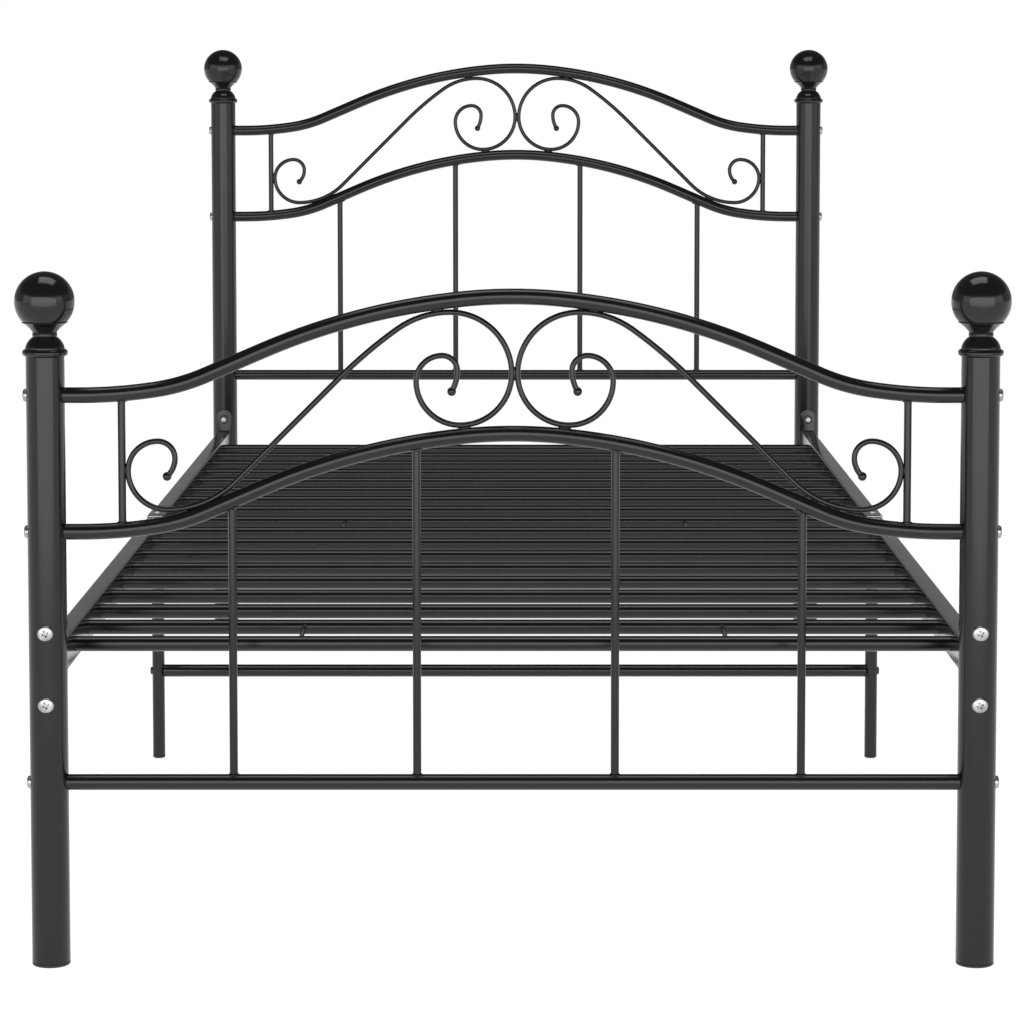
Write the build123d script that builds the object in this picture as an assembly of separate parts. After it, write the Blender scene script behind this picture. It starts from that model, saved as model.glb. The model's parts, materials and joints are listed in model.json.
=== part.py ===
from build123d import *
import math
import os

# Single bed frame in steel tube. All sizes are in millimetres.
# X runs across the bed, Y from the foot end to the head end, Z up.
# The origin is on the floor under the middle of the bed.

# ---- Corner posts
POST_X = 465.0  # post axes, either side of the middle
POST_Y = 1020.0  # post axes, towards the foot and the head
POST_RADIUS = 19.2
POST_WALL = 1.5
FOOT_POST_TOP = 614.5
HEAD_POST_TOP = 842.0

# ---- End panels: two arches and a straight bottom rail between a pair of posts
PANEL_TUBE_RADIUS = 8.0
PANEL_TUBE_WALL = 1.2
BOTTOM_RAIL_Z = 185.6  # at the foot end
LOWER_ARCH_Z = 438.7  # where its ends meet the posts, at the foot end
ARCH_SPACING = 136.8  # top arch above lower arch
HEAD_PANEL_RISE = 223.0  # the head panel is the foot panel set this much higher
CROWN = [(497.0, 5.3), (669.0, 18.0)]  # radius and turn, from the middle outwards
FLANK_RUN = 62.1  # straight run between crown and shoulder
SHOULDER = [(205.0, 14.8), (503.6, 8.5)]  # radius and turn, opposite way to the crown

# ---- Bars and scrolls inside a panel
LONG_BAR_RADIUS = 4.2
LONG_BAR_X = [-280.0, -96.1, 102.1, 288.7]
SHORT_BAR_RADIUS = 3.9
SHORT_BAR_X = 391.2  # from the middle of the scroll pair
SCROLL_MIDDLE_X = 1.7  # the scroll pair sits this much off the middle of the bed
SCROLL_ROD_RADIUS = 2.9
SCROLL_TIP_RADIUS = 4.5
SCROLL_START = (-277.45, 489.5)  # low end of the diagonal, from the scroll middle
SCROLL_DIAGONAL = 145.1
OUTER_CURL = [(97.4, 45.0), (38.8, 90.0), (29.7, 90.0), (17.1, 90.0), (24.5, 47.8)]
INNER_CURL = [
    (468.5, 9.3),
    (90.4, 35.7),
    (61.3, 90.0),
    (51.4, 90.0),
    (43.7, 90.0),
    (25.8, 90.0),
    (15.2, 90.0),
    (40.6, 30.7),
]

# ---- Side rails
RAIL_WIDTH = 20.0
RAIL_HEIGHT = 34.0
RAIL_WALL = 1.2
RAIL_CORNER = 2.0
SHARPEST_CORNER = 0.4  # least inside corner of a rectangular tube
RAIL_Z = 303.3  # middle of the rail's height
RAIL_SEAM = 0.5  # gap between the two half rails of a side
BRACKET_WIDTH = 25.0
BRACKET_HEIGHT = 103.0
BRACKET_THICKNESS = 4.0
BRACKET_GROOVE = 0.5  # how deep the round post beds into the bracket's back
BRACKET_BOLT_OFFSET = 36.1  # bolt holes above and below the rail's middle

# ---- Joint at mid-length
JOINER_LENGTH = 80.0
JOINER_WALL = 2.0
PLATE_LENGTH = 68.0
PLATE_THICKNESS = 2.0

# ---- Slats
SLAT_COUNT = 18
SLAT_PITCH = 104.5
SLAT_RADIUS = 8.0
SLAT_WALL = 1.0
SLAT_END_X = 471.0  # each end is pushed into the rail as far as this
LINK_X = 223.0
LINK_RADIUS = 2.5
LINKED_SLATS = [0, 8, 16]  # each of these is tied to the slat after it

# ---- Mid legs
LEG_RADIUS = 8.0
LEG_WALL = 1.5
LEG_INSERT_LENGTH = 30.0
CROSSBAR_Z = 114.7
CROSSBAR_WALL = 1.2

# ---- Plastic caps
CAP_FLANGE = 3.0
CAP_EDGE = 2.0  # rounding of the edge on the floor
CAP_PLUG_LENGTH = 16.0
CAP_PLUG_WALL = 2.5

# ---- Finials, heights from the top of the post
SPIGOT_DEPTH = 24.0
BASE_HEIGHT = 34.3
STEM_RADIUS = 6.0
STEM_HEIGHT = 18.0
BALL_RADIUS = 30.0
BALL_CENTRE = 54.5

# ---- Fasteners
M6 = 3.0  # radius of the shank and of its thread
M8 = 4.0
CLEARANCE = 0.3  # added to the radius of a plain bolt hole
INSERT_LENGTH = 25.0
INSERT_RECESS = 1.3  # insert stands back from the post
PANEL_SCREW_HEAD = (6.5, 3.5)  # radius and height
PANEL_SCREW_LENGTH = 60.0
RAIL_BOLT_HEAD = (8.0, 3.8)
RAIL_BOLT_LENGTH = 52.0
NUT_ACROSS_FLATS = 13.0
NUT_HEIGHT = 6.5
LEG_BOLT_HEAD = (5.0, 3.0)
LEG_BOLT_LENGTH = 60.0
CROSSBAR_BOLT_HEAD = (5.0, 2.6)
CROSSBAR_BOLT_LENGTH = 35.0
RECESS_DEPTH = 1.8  # cross recess in a screw head
RECESS_WIDTH = 1.4

# ---- Worked out from the above
SIDES = {"left": -1, "right": 1}
ENDS = {"foot": -1, "head": 1}
POST_TOP = {"foot": FOOT_POST_TOP, "head": HEAD_POST_TOP}
PANEL_RISE = {"foot": 0.0, "head": HEAD_PANEL_RISE}
RAIL_TOP = RAIL_Z + RAIL_HEIGHT / 2
RAIL_BOTTOM = RAIL_Z - RAIL_HEIGHT / 2
BRACKET_OUTER_Y = POST_Y - POST_RADIUS + BRACKET_GROOVE
BRACKET_INNER_Y = BRACKET_OUTER_Y - BRACKET_THICKNESS
BRACKET_BOLT_Z = [RAIL_Z - BRACKET_BOLT_OFFSET, RAIL_Z + BRACKET_BOLT_OFFSET]
SLAT_Y = [(i - (SLAT_COUNT - 1) / 2) * SLAT_PITCH for i in range(SLAT_COUNT)]


def rod(start, end, radius, bore=0.0):
    """A round bar from start to end, or a tube where a bore is given."""
    axis = Vector(*end) - Vector(*start)
    section = Circle(radius)
    if bore:
        section -= Circle(bore)
    return extrude(Plane(origin=start, z_dir=axis) * section, amount=axis.length)


def trace(start, heading, steps, y):
    """A path in an upright plane of straight runs and tangent arcs.

    A step is (None, length) or (radius, turn in degrees, positive to the left).
    Returns the edges, the end point and the end heading.
    """
    x, z = start
    angle = math.radians(heading)
    edges = []
    for radius, amount in steps:
        if radius is None:
            end = (x + amount * math.cos(angle), z + amount * math.sin(angle))
            edges.append(Line((x, y, z), (end[0], y, end[1])))
        else:
            side = math.copysign(radius, amount)
            centre = (x - side * math.sin(angle), z + side * math.cos(angle))
            turned = [angle + math.radians(amount) * part for part in (0.5, 1.0)]
            middle, end = [
                (centre[0] + side * math.sin(a), centre[1] - side * math.cos(a))
                for a in turned
            ]
            edges.append(
                ThreePointArc((x, y, z), (middle[0], y, middle[1]), (end[0], y, end[1]))
            )
            angle = turned[1]
        x, z = end
    return edges, (x, z), math.degrees(angle)


def backwards(steps):
    """The same steps walked from the other end."""
    return [(r, a if r is None else -a) for r, a in reversed(steps)]


def bent_rod(edges, radius, bore=0.0):
    """A bar or tube swept along a path."""
    path = Wire(edges)
    section = Circle(radius)
    if bore:
        section -= Circle(bore)
    return sweep(Plane(origin=path @ 0, z_dir=path % 0) * section, path=path)


def post_core(side, end):
    """The full outside of a post, for shaping what meets it."""
    x, y = side * POST_X, end * POST_Y
    return rod((x, y, 0), (x, y, HEAD_POST_TOP), POST_RADIUS)


def arch_steps():
    """Half an arch from its post to its crown, without the straight end."""
    half = [(radius, turn) for radius, turn in reversed(SHOULDER)]
    half.append((None, FLANK_RUN))
    half += [(radius, -turn) for radius, turn in reversed(CROWN)]
    return half


def arch_path(y, end_z):
    """The whole centre line of an arch, from post axis to post axis."""
    half = arch_steps()
    reach = trace((0.0, 0.0), 0.0, half, y)[1][0]
    straight = (None, POST_X - reach)
    steps = [straight] + half + half[::-1] + [straight]
    return trace((-POST_X, end_z), 0.0, steps, y)[0]


def save(name, pieces):
    """Write one piece, or a group of like pieces, under its name."""
    solids = [solid for piece in pieces for solid in piece.solids()]
    export_step(Compound(children=solids), f"parts/{name}.step")


# ---- Fasteners


def head_with_recess(head, skirt):
    """A domed screw head standing on z = 0, its rim carried down by skirt."""
    radius, height = head
    edge = height * 0.45
    profile = Polyline((0, -skirt), (radius, -skirt), (radius, edge))
    dome = ThreePointArc((radius, edge), (radius * 0.62, height * 0.86), (0, height))
    face = make_face(profile + dome + Line((0, height), (0, -skirt)))
    blank = revolve(Plane.XZ * face, axis=Axis.Z)
    for turn in (0, 90):
        slot = Box(radius, RECESS_WIDTH, 2 * RECESS_DEPTH)
        blank -= Location((0, 0, height), (0, 0, turn)) * slot
    return blank


def screw(origin, outward, head, shank_radius, length, seat=None):
    """A cross-head screw with its head on origin, bedded on seat where given."""
    place = Plane(origin=origin, z_dir=outward)
    skirt = 0.0 if seat is None else 2.0
    top = place * head_with_recess(head, skirt)
    if seat is not None:
        top -= seat
    tip = Vector(*origin) - Vector(*outward) * length
    return top + rod(tuple(tip), origin, shank_radius)


def panel_screws(end, heights):
    """Screws through the posts into the ends of a panel's tubes."""
    y = ENDS[end] * POST_Y
    screws = []
    for side in SIDES.values():
        seat = post_core(side, ENDS[end])
        for z in heights:
            origin = (side * (POST_X + POST_RADIUS), y, z)
            screws.append(
                screw(origin, (side, 0, 0), PANEL_SCREW_HEAD, M6, PANEL_SCREW_LENGTH, seat)
            )
    return screws


def tube_inserts(end, heights):
    """Threaded plugs inside the ends of a panel's tubes."""
    y = ENDS[end] * POST_Y
    outer = POST_X - POST_RADIUS - INSERT_RECESS
    bore = PANEL_TUBE_RADIUS - PANEL_TUBE_WALL
    return [
        rod((side * outer, y, z), (side * (outer - INSERT_LENGTH), y, z), bore, M6)
        for side in SIDES.values()
        for z in heights
    ]


def rail_bolts():
    """Through-bolts that hold the rail brackets to the posts."""
    bolts = []
    for side in SIDES.values():
        for end in ENDS.values():
            seat = post_core(side, end)
            for z in BRACKET_BOLT_Z:
                origin = (side * POST_X, end * (POST_Y + POST_RADIUS), z)
                bolts.append(
                    screw(origin, (0, end, 0), RAIL_BOLT_HEAD, M8, RAIL_BOLT_LENGTH, seat)
                )
    return bolts


def bracket_nuts():
    """Nuts welded to the bed side of the rail brackets."""
    section = RegularPolygon(NUT_ACROSS_FLATS / 2, 6, major_radius=False) - Circle(M8)
    nuts = []
    for side in SIDES.values():
        for end in ENDS.values():
            for z in BRACKET_BOLT_Z:
                face = Plane(
                    origin=(side * POST_X, end * BRACKET_INNER_Y, z),
                    z_dir=(0, -end, 0),
                )
                nuts.append(extrude(face * section, amount=NUT_HEIGHT))
    return nuts


# ---- Posts


def post(side, end, panel_heights):
    """A corner post, drilled for the panel screws and the rail bolts."""
    x, y = side * POST_X, ENDS[end] * POST_Y
    tube = rod((x, y, CAP_FLANGE), (x, y, POST_TOP[end]), POST_RADIUS, POST_RADIUS - POST_WALL)
    through = POST_RADIUS * 1.5
    for z in panel_heights:
        tube -= rod((x - through, y, z), (x + through, y, z), M6 + CLEARANCE)
    for z in BRACKET_BOLT_Z:
        tube -= rod((x, y - through, z), (x, y + through, z), M8 + CLEARANCE)
    return tube


def foot_cap(x, y, radius, bore):
    """A plastic cap: a rounded flange on the floor and a hollow plug up the tube."""
    flange = rod((x, y, 0), (x, y, CAP_FLANGE), radius)
    flange = fillet(flange.edges().sort_by(Axis.Z)[0], CAP_EDGE)
    plug_top = CAP_FLANGE + CAP_PLUG_LENGTH
    return flange + rod((x, y, CAP_FLANGE), (x, y, plug_top), bore, bore - CAP_PLUG_WALL)


def finial_base(x, y, top):
    """Turned base: spigot, bead, dome, neck and a flared cup with a stem for the ball."""
    spigot = POST_RADIUS - POST_WALL
    lines = Polyline((0, -SPIGOT_DEPTH), (spigot, -SPIGOT_DEPTH), (spigot, 0), (19.3, 0))
    lines += ThreePointArc((19.3, 0), (22.7, 3.6), (20.1, 7.2))
    lines += ThreePointArc((20.1, 7.2), (18.1, 12.6), (12.6, 19.0))
    lines += Line((12.6, 19.0), (11.9, 19.4))
    lines += ThreePointArc((11.9, 19.4), (12.5, 21.6), (11.9, 23.8))
    lines += ThreePointArc((11.9, 23.8), (15.9, 28.6), (22.4, 33.4))
    lines += Polyline((22.4, 33.4), (22.8, BASE_HEIGHT), (STEM_RADIUS, BASE_HEIGHT))
    stem_top = BASE_HEIGHT + STEM_HEIGHT
    lines += Polyline(
        (STEM_RADIUS, BASE_HEIGHT), (STEM_RADIUS, stem_top), (0, stem_top), (0, -SPIGOT_DEPTH)
    )
    turned = revolve(Plane.XZ * make_face(lines), axis=Axis.Z)
    return Location((x, y, top)) * turned


def finial_ball(x, y, top):
    """Ball cut flat underneath, with a blind hole for the stem of the base."""
    ball = Location((0, 0, BALL_CENTRE)) * Sphere(BALL_RADIUS)
    ball -= rod((0, 0, 0), (0, 0, BASE_HEIGHT), BALL_RADIUS)
    ball -= rod((0, 0, BASE_HEIGHT), (0, 0, BASE_HEIGHT + STEM_HEIGHT), STEM_RADIUS)
    return Location((x, y, top)) * ball


# ---- End panels


def scroll(y, rise):
    """The left scroll rod of a panel: a diagonal with a curl at each end and ball tips."""
    start = (SCROLL_START[0] + SCROLL_MIDDLE_X, SCROLL_START[1] + rise)
    down = [(radius, -turn) for radius, turn in OUTER_CURL]
    up = [(radius, -turn) for radius, turn in INNER_CURL]
    tip, heading = trace(start, 225.0, down, y)[1:]
    steps = backwards(down) + [(None, SCROLL_DIAGONAL)] + up
    edges, far_tip, _ = trace(tip, heading + 180.0, steps, y)
    rod_body = bent_rod(edges, SCROLL_ROD_RADIUS)
    for x, z in (tip, far_tip):
        rod_body += Location((x, y, z)) * Sphere(SCROLL_TIP_RADIUS)
    return rod_body


def save_panel(end):
    """Write every piece of one end panel."""
    y = ENDS[end] * POST_Y
    rise = PANEL_RISE[end]
    bottom_z = BOTTOM_RAIL_Z + rise
    lower_z = LOWER_ARCH_Z + rise
    top_z = lower_z + ARCH_SPACING
    bore = PANEL_TUBE_RADIUS - PANEL_TUBE_WALL
    posts = [post_core(side, ENDS[end]) for side in SIDES.values()]

    paths = {"lower_arch": arch_path(y, lower_z), "top_arch": arch_path(y, top_z)}
    cores = {name: bent_rod(path, PANEL_TUBE_RADIUS) for name, path in paths.items()}
    for name, path in paths.items():
        save(f"{end}_{name}", [bent_rod(path, PANEL_TUBE_RADIUS, bore) - posts])
    rail_ends = (-POST_X, y, bottom_z), (POST_X, y, bottom_z)
    rail_core = rod(*rail_ends, PANEL_TUBE_RADIUS)
    save(f"{end}_bottom_rail", [rod(*rail_ends, PANEL_TUBE_RADIUS, bore) - posts])

    over = top_z + ARCH_SPACING
    long_bars = []
    for x in LONG_BAR_X:
        bar = rod((x, y, bottom_z), (x, y, over), LONG_BAR_RADIUS)
        bar -= [rail_core, cores["lower_arch"]]
        long_bars.append(bar.solids().sort_by(Axis.Z)[0])
    save(f"{end}_long_bars", long_bars)

    short_bars = []
    for side in SIDES.values():
        x = SCROLL_MIDDLE_X + side * SHORT_BAR_X
        bar = rod((x, y, bottom_z), (x, y, over), SHORT_BAR_RADIUS)
        bar -= list(cores.values())
        short_bars.append(bar.solids().sort_by(Axis.Z)[1])
    save(f"{end}_short_bars", short_bars)

    left = scroll(y, rise)
    across = Plane(origin=(SCROLL_MIDDLE_X, 0, 0), z_dir=(1, 0, 0))
    pair = {"left": left, "right": mirror(left, about=across)}
    for name, curl in pair.items():
        save(f"{end}_scroll_{name}", [curl - list(cores.values()) - short_bars])

    heights = [bottom_z, lower_z, top_z]
    save(f"{end}_tube_inserts", tube_inserts(end, heights))
    save(f"{end}_panel_screws", panel_screws(end, heights))
    for name, side in SIDES.items():
        x, top = side * POST_X, POST_TOP[end]
        save(f"{end}_post_{name}", [post(side, end, heights)])
        save(f"{end}_post_cap_{name}", [foot_cap(x, y, POST_RADIUS, POST_RADIUS - POST_WALL)])
        save(f"{end}_finial_base_{name}", [finial_base(x, y, top)])
        save(f"{end}_finial_ball_{name}", [finial_ball(x, y, top)])


# ---- Side rails


def box_tube(width, height, wall, corner, side, y_from, y_to):
    """A rectangular tube along Y on a rail's centre line."""
    inner_corner = max(corner - wall, SHARPEST_CORNER)
    section = RectangleRounded(width, height, corner)
    section -= RectangleRounded(width - 2 * wall, height - 2 * wall, inner_corner)
    start = Plane(origin=(side * POST_X, y_from, RAIL_Z), x_dir=(1, 0, 0), z_dir=(0, 1, 0))
    return extrude(start * section, amount=y_to - y_from)


def leg_bolt_hole(side):
    """The hole for a mid leg's bolt, down through rail, joiner and plate."""
    x = side * POST_X
    over = PLATE_LENGTH
    return rod((x, 0, RAIL_BOTTOM - over), (x, 0, RAIL_TOP + over), M6 + CLEARANCE)


def half_rail(side, end):
    """One half of a side rail, with a hole for the end of each slat."""
    reach = BRACKET_INNER_Y - RAIL_SEAM / 2
    y_from = RAIL_SEAM / 2 if end > 0 else -BRACKET_INNER_Y
    rail = box_tube(
        RAIL_WIDTH, RAIL_HEIGHT, RAIL_WALL, RAIL_CORNER, side, y_from, y_from + reach
    )
    inside = side * (POST_X - RAIL_WIDTH)
    for y in SLAT_Y:
        if y * end > 0:
            rail -= rod((inside, y, RAIL_Z), (side * SLAT_END_X, y, RAIL_Z), SLAT_RADIUS)
    return rail - leg_bolt_hole(side)


def bracket(side, end):
    """Upright plate with round ends, welded to the rail and bolted to the post."""
    face = Plane(
        origin=(side * POST_X, end * BRACKET_INNER_Y, RAIL_Z),
        x_dir=(0, 0, 1),
        z_dir=(0, end, 0),
    )
    plate = extrude(face * SlotOverall(BRACKET_HEIGHT, BRACKET_WIDTH), amount=BRACKET_THICKNESS)
    plate -= post_core(side, end)
    for z in BRACKET_BOLT_Z:
        x, y = side * POST_X, end * BRACKET_INNER_Y
        plate -= rod((x, y, z), (x, y + end * 2 * BRACKET_THICKNESS, z), M8 + CLEARANCE)
    return plate


def joiner(side):
    """Short tube inside both half rails at mid-length."""
    tube = box_tube(
        RAIL_WIDTH - 2 * RAIL_WALL,
        RAIL_HEIGHT - 2 * RAIL_WALL,
        JOINER_WALL,
        RAIL_CORNER - RAIL_WALL,
        side,
        -JOINER_LENGTH / 2,
        JOINER_LENGTH / 2,
    )
    return tube - leg_bolt_hole(side)


def joint_plate(side):
    """Flat plate under the head of a mid leg's bolt, across the rail joint."""
    face = Plane(origin=(side * POST_X, 0, RAIL_TOP))
    plate = extrude(
        face * RectangleRounded(RAIL_WIDTH, PLATE_LENGTH, RAIL_CORNER), amount=PLATE_THICKNESS
    )
    return plate - leg_bolt_hole(side)


# ---- Slats


def slat(y, bore=SLAT_RADIUS - SLAT_WALL):
    """A cross slat from rail to rail."""
    return rod((-SLAT_END_X, y, RAIL_Z), (SLAT_END_X, y, RAIL_Z), SLAT_RADIUS, bore)


def link_rods():
    """Short rods that tie neighbouring slats together."""
    links = []
    for first in LINKED_SLATS:
        pair = SLAT_Y[first], SLAT_Y[first + 1]
        cores = [slat(y, 0.0) for y in pair]
        for side in SIDES.values():
            x = side * LINK_X
            links.append(rod((x, pair[0], RAIL_Z), (x, pair[1], RAIL_Z), LINK_RADIUS) - cores)
    return links


# ---- Mid legs


def leg_core(side):
    """The full outside of a mid leg."""
    x = side * POST_X
    return rod((x, 0, 0), (x, 0, RAIL_BOTTOM), LEG_RADIUS)


def mid_leg(side):
    """Leg under the middle of a rail, drilled across for the crossbar bolt."""
    x = side * POST_X
    tube = rod((x, 0, CAP_FLANGE), (x, 0, RAIL_BOTTOM), LEG_RADIUS, LEG_RADIUS - LEG_WALL)
    through = LEG_RADIUS * 1.5
    hole = rod((x - through, 0, CROSSBAR_Z), (x + through, 0, CROSSBAR_Z), M6 + CLEARANCE)
    return tube - hole


def leg_insert(side):
    """Threaded plug in the top of a mid leg."""
    x = side * POST_X
    foot = RAIL_BOTTOM - LEG_INSERT_LENGTH
    return rod((x, 0, foot), (x, 0, RAIL_BOTTOM), LEG_RADIUS - LEG_WALL, M6)


def leg_bolt(side):
    """Long bolt from the joint plate down into the leg."""
    origin = (side * POST_X, 0, RAIL_TOP + PLATE_THICKNESS)
    return screw(origin, (0, 0, 1), LEG_BOLT_HEAD, M6, LEG_BOLT_LENGTH)


def crossbar():
    """Low tube between the mid legs."""
    ends = (-POST_X, 0, CROSSBAR_Z), (POST_X, 0, CROSSBAR_Z)
    bar = rod(*ends, LEG_RADIUS, LEG_RADIUS - CROSSBAR_WALL)
    return bar - [leg_core(side) for side in SIDES.values()]


def crossbar_insert(side):
    """Threaded plug in one end of the crossbar."""
    outer = POST_X - LEG_RADIUS - INSERT_RECESS
    ends = (side * outer, 0, CROSSBAR_Z), (side * (outer - INSERT_LENGTH), 0, CROSSBAR_Z)
    return rod(*ends, LEG_RADIUS - CROSSBAR_WALL, M6)


def crossbar_bolt(side):
    """Bolt through a mid leg into the end of the crossbar."""
    origin = (side * (POST_X + LEG_RADIUS), 0, CROSSBAR_Z)
    return screw(
        origin, (side, 0, 0), CROSSBAR_BOLT_HEAD, M6, CROSSBAR_BOLT_LENGTH, leg_core(side)
    )


# ---- Write the pieces

os.makedirs("parts", exist_ok=True)

for end_name in ENDS:
    save_panel(end_name)

save("rail_bolts", rail_bolts())
save("bracket_nuts", bracket_nuts())
for side_name, side_sign in SIDES.items():
    for end_name, end_sign in ENDS.items():
        save(f"rail_{side_name}_{end_name}", [half_rail(side_sign, end_sign)])
        save(f"rail_bracket_{side_name}_{end_name}", [bracket(side_sign, end_sign)])
    save(f"rail_joiner_{side_name}", [joiner(side_sign)])
    save(f"joint_plate_{side_name}", [joint_plate(side_sign)])
    save(f"mid_leg_{side_name}", [mid_leg(side_sign)])
    save(
        f"mid_leg_cap_{side_name}",
        [foot_cap(side_sign * POST_X, 0, LEG_RADIUS, LEG_RADIUS - LEG_WALL)],
    )

for end_name, end_sign in ENDS.items():
    save(f"slats_{end_name}_half", [slat(y) for y in SLAT_Y if y * end_sign > 0])
save("slat_link_rods", link_rods())

save("mid_leg_inserts", [leg_insert(side) for side in SIDES.values()])
save("mid_leg_bolts", [leg_bolt(side) for side in SIDES.values()])
save("crossbar", [crossbar()])
save("crossbar_inserts", [crossbar_insert(side) for side in SIDES.values()])
save("crossbar_bolts", [crossbar_bolt(side) for side in SIDES.values()])
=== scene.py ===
import json
import math

import bmesh
import bpy
from mathutils import Matrix, Vector


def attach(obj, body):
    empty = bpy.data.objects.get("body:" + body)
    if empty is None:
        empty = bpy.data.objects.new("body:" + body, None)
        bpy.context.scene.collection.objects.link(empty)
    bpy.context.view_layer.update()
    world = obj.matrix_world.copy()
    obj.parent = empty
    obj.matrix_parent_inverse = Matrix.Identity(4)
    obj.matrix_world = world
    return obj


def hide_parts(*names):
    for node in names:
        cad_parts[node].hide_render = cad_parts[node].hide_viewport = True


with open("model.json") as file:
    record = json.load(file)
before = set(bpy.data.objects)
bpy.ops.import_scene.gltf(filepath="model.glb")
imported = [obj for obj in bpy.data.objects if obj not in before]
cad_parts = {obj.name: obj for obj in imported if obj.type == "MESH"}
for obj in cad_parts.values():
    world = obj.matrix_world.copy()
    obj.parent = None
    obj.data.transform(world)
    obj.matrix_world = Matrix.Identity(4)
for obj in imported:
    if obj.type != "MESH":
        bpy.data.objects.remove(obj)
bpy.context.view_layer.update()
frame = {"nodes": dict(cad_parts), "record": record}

# Single bed frame in black steel tube. Shapes are worked out in millimetres, and each
# finished piece is scaled to metres. X runs across, Y from foot end to head end, Z up.
MM = 0.001

# ---- Posts and end panels
POST_X = 465.0
POST_Y = 1020.0
POST_RADIUS = 19.2
POST_TOP = {"foot": 614.5, "head": 842.0}
PANEL_RISE = {"foot": 0.0, "head": 223.0}
PANEL_TUBE = 8.0
BOTTOM_RAIL_Z = 185.6
LOWER_ARCH_Z = 438.7
TOP_ARCH_Z = 575.5
CROWN = [(497.0, 5.3), (669.0, 18.0)]
FLANK_RUN = 62.1
SHOULDER = [(205.0, 14.8), (503.6, 8.5)]
LONG_BAR_X = (-280.0, -96.1, 102.1, 288.7)
LONG_BAR = 4.2
SHORT_BAR_X = 391.2
SHORT_BAR = 3.9
SCROLL_MIDDLE_X = 1.7
SCROLL_ROD = 2.9
SCROLL_TIP = 4.5
SCROLL_START = (-277.45, 489.5)
SCROLL_DIAGONAL = 145.1
OUTER_CURL = [(97.4, 45.0), (38.8, 90.0), (29.7, 90.0), (17.1, 90.0), (24.5, 47.8)]
INNER_CURL = [
    (468.5, 9.3),
    (90.4, 35.7),
    (61.3, 90.0),
    (51.4, 90.0),
    (43.7, 90.0),
    (25.8, 90.0),
    (15.2, 90.0),
    (40.6, 30.7),
]

# ---- Side rails, slats and mid legs
RAIL_WIDTH = 20.0
RAIL_HEIGHT = 34.0
RAIL_CORNER = 2.0
RAIL_Z = 303.3
RAIL_SEAM = 0.5
RAIL_END_Y = 997.3
BRACKET = (25.0, 4.0, 103.0)
BRACKET_BOLT_OFFSET = 36.1
PLATE = (20.0, 68.0, 2.0)
SLAT_COUNT = 18
SLAT_PITCH = 104.5
SLAT = 8.0
SLAT_END_X = 466.0
LINK_X = 223.0
LINK = 2.5
LINKED_SLATS = (0, 8, 16)
LEG = 8.0
CROSSBAR_Z = 114.7

# ---- Caps, finials and fasteners
CAP_FLANGE = 3.0
BALL_RADIUS = 29.98
BALL_CENTRE = 54.5
PANEL_SCREW_HEAD = (6.5, 3.5)  # radius and height
RAIL_BOLT_HEAD = (8.0, 3.8)
LEG_BOLT_HEAD = (5.0, 3.0)
CROSSBAR_BOLT_HEAD = (5.0, 2.6)
HEAD_SINK = 2.0  # skirt below a head that beds on a round tube
NUT = (13.0, 6.5)  # across flats and height
BOLT_TIP = 3.6

# ---- Welds and broken edges
BROKEN_EDGE = 0.3  # taken off the cut end of a tube
TUBE_LIP = 1.4  # how far the outline of a tube turns in at its ends
BAR_BEAD = 1.5  # thickness of the bead round a long bar
SHORT_BAR_BEAD = 1.4
RAIL_BEAD_LIFT = 7.3  # from a tube's axis out to the bead where a bar meets it
ARCH_BEAD_LIFT = 7.4
TACK_REACH = 2.0  # a scroll this near an arch is tacked to it
ARCH_TACK = (2.6, 1.7, 6.5)
BAR_TACK = (1.6, 2.4, 6.0)
MIDDLE_TACK = (1.5, 2.4, 7.0)
COLLAR_SPREAD = 2.4  # bead round a half rail's end, beyond the rail on both sides together
COLLAR_WIDTH = 2.6
COLLAR_ROUNDING = 1.25
COLLAR_INSET = 0.4
LINK_BEAD = 1.2
LINK_BEAD_SINK = 0.4

SIDES = {"left": -1, "right": 1}
ENDS = {"foot": -1, "head": 1}
RAIL_TOP = RAIL_Z + RAIL_HEIGHT / 2
RAIL_BOTTOM = RAIL_Z - RAIL_HEIGHT / 2
SLAT_Y = [(i - (SLAT_COUNT - 1) / 2) * SLAT_PITCH for i in range(SLAT_COUNT)]


# ---- Finishes


def connect(tree, source, output, target, socket):
    """Join one node's output to another node's input."""
    tree.links.new(source.outputs[output], target.inputs[socket])


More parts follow.
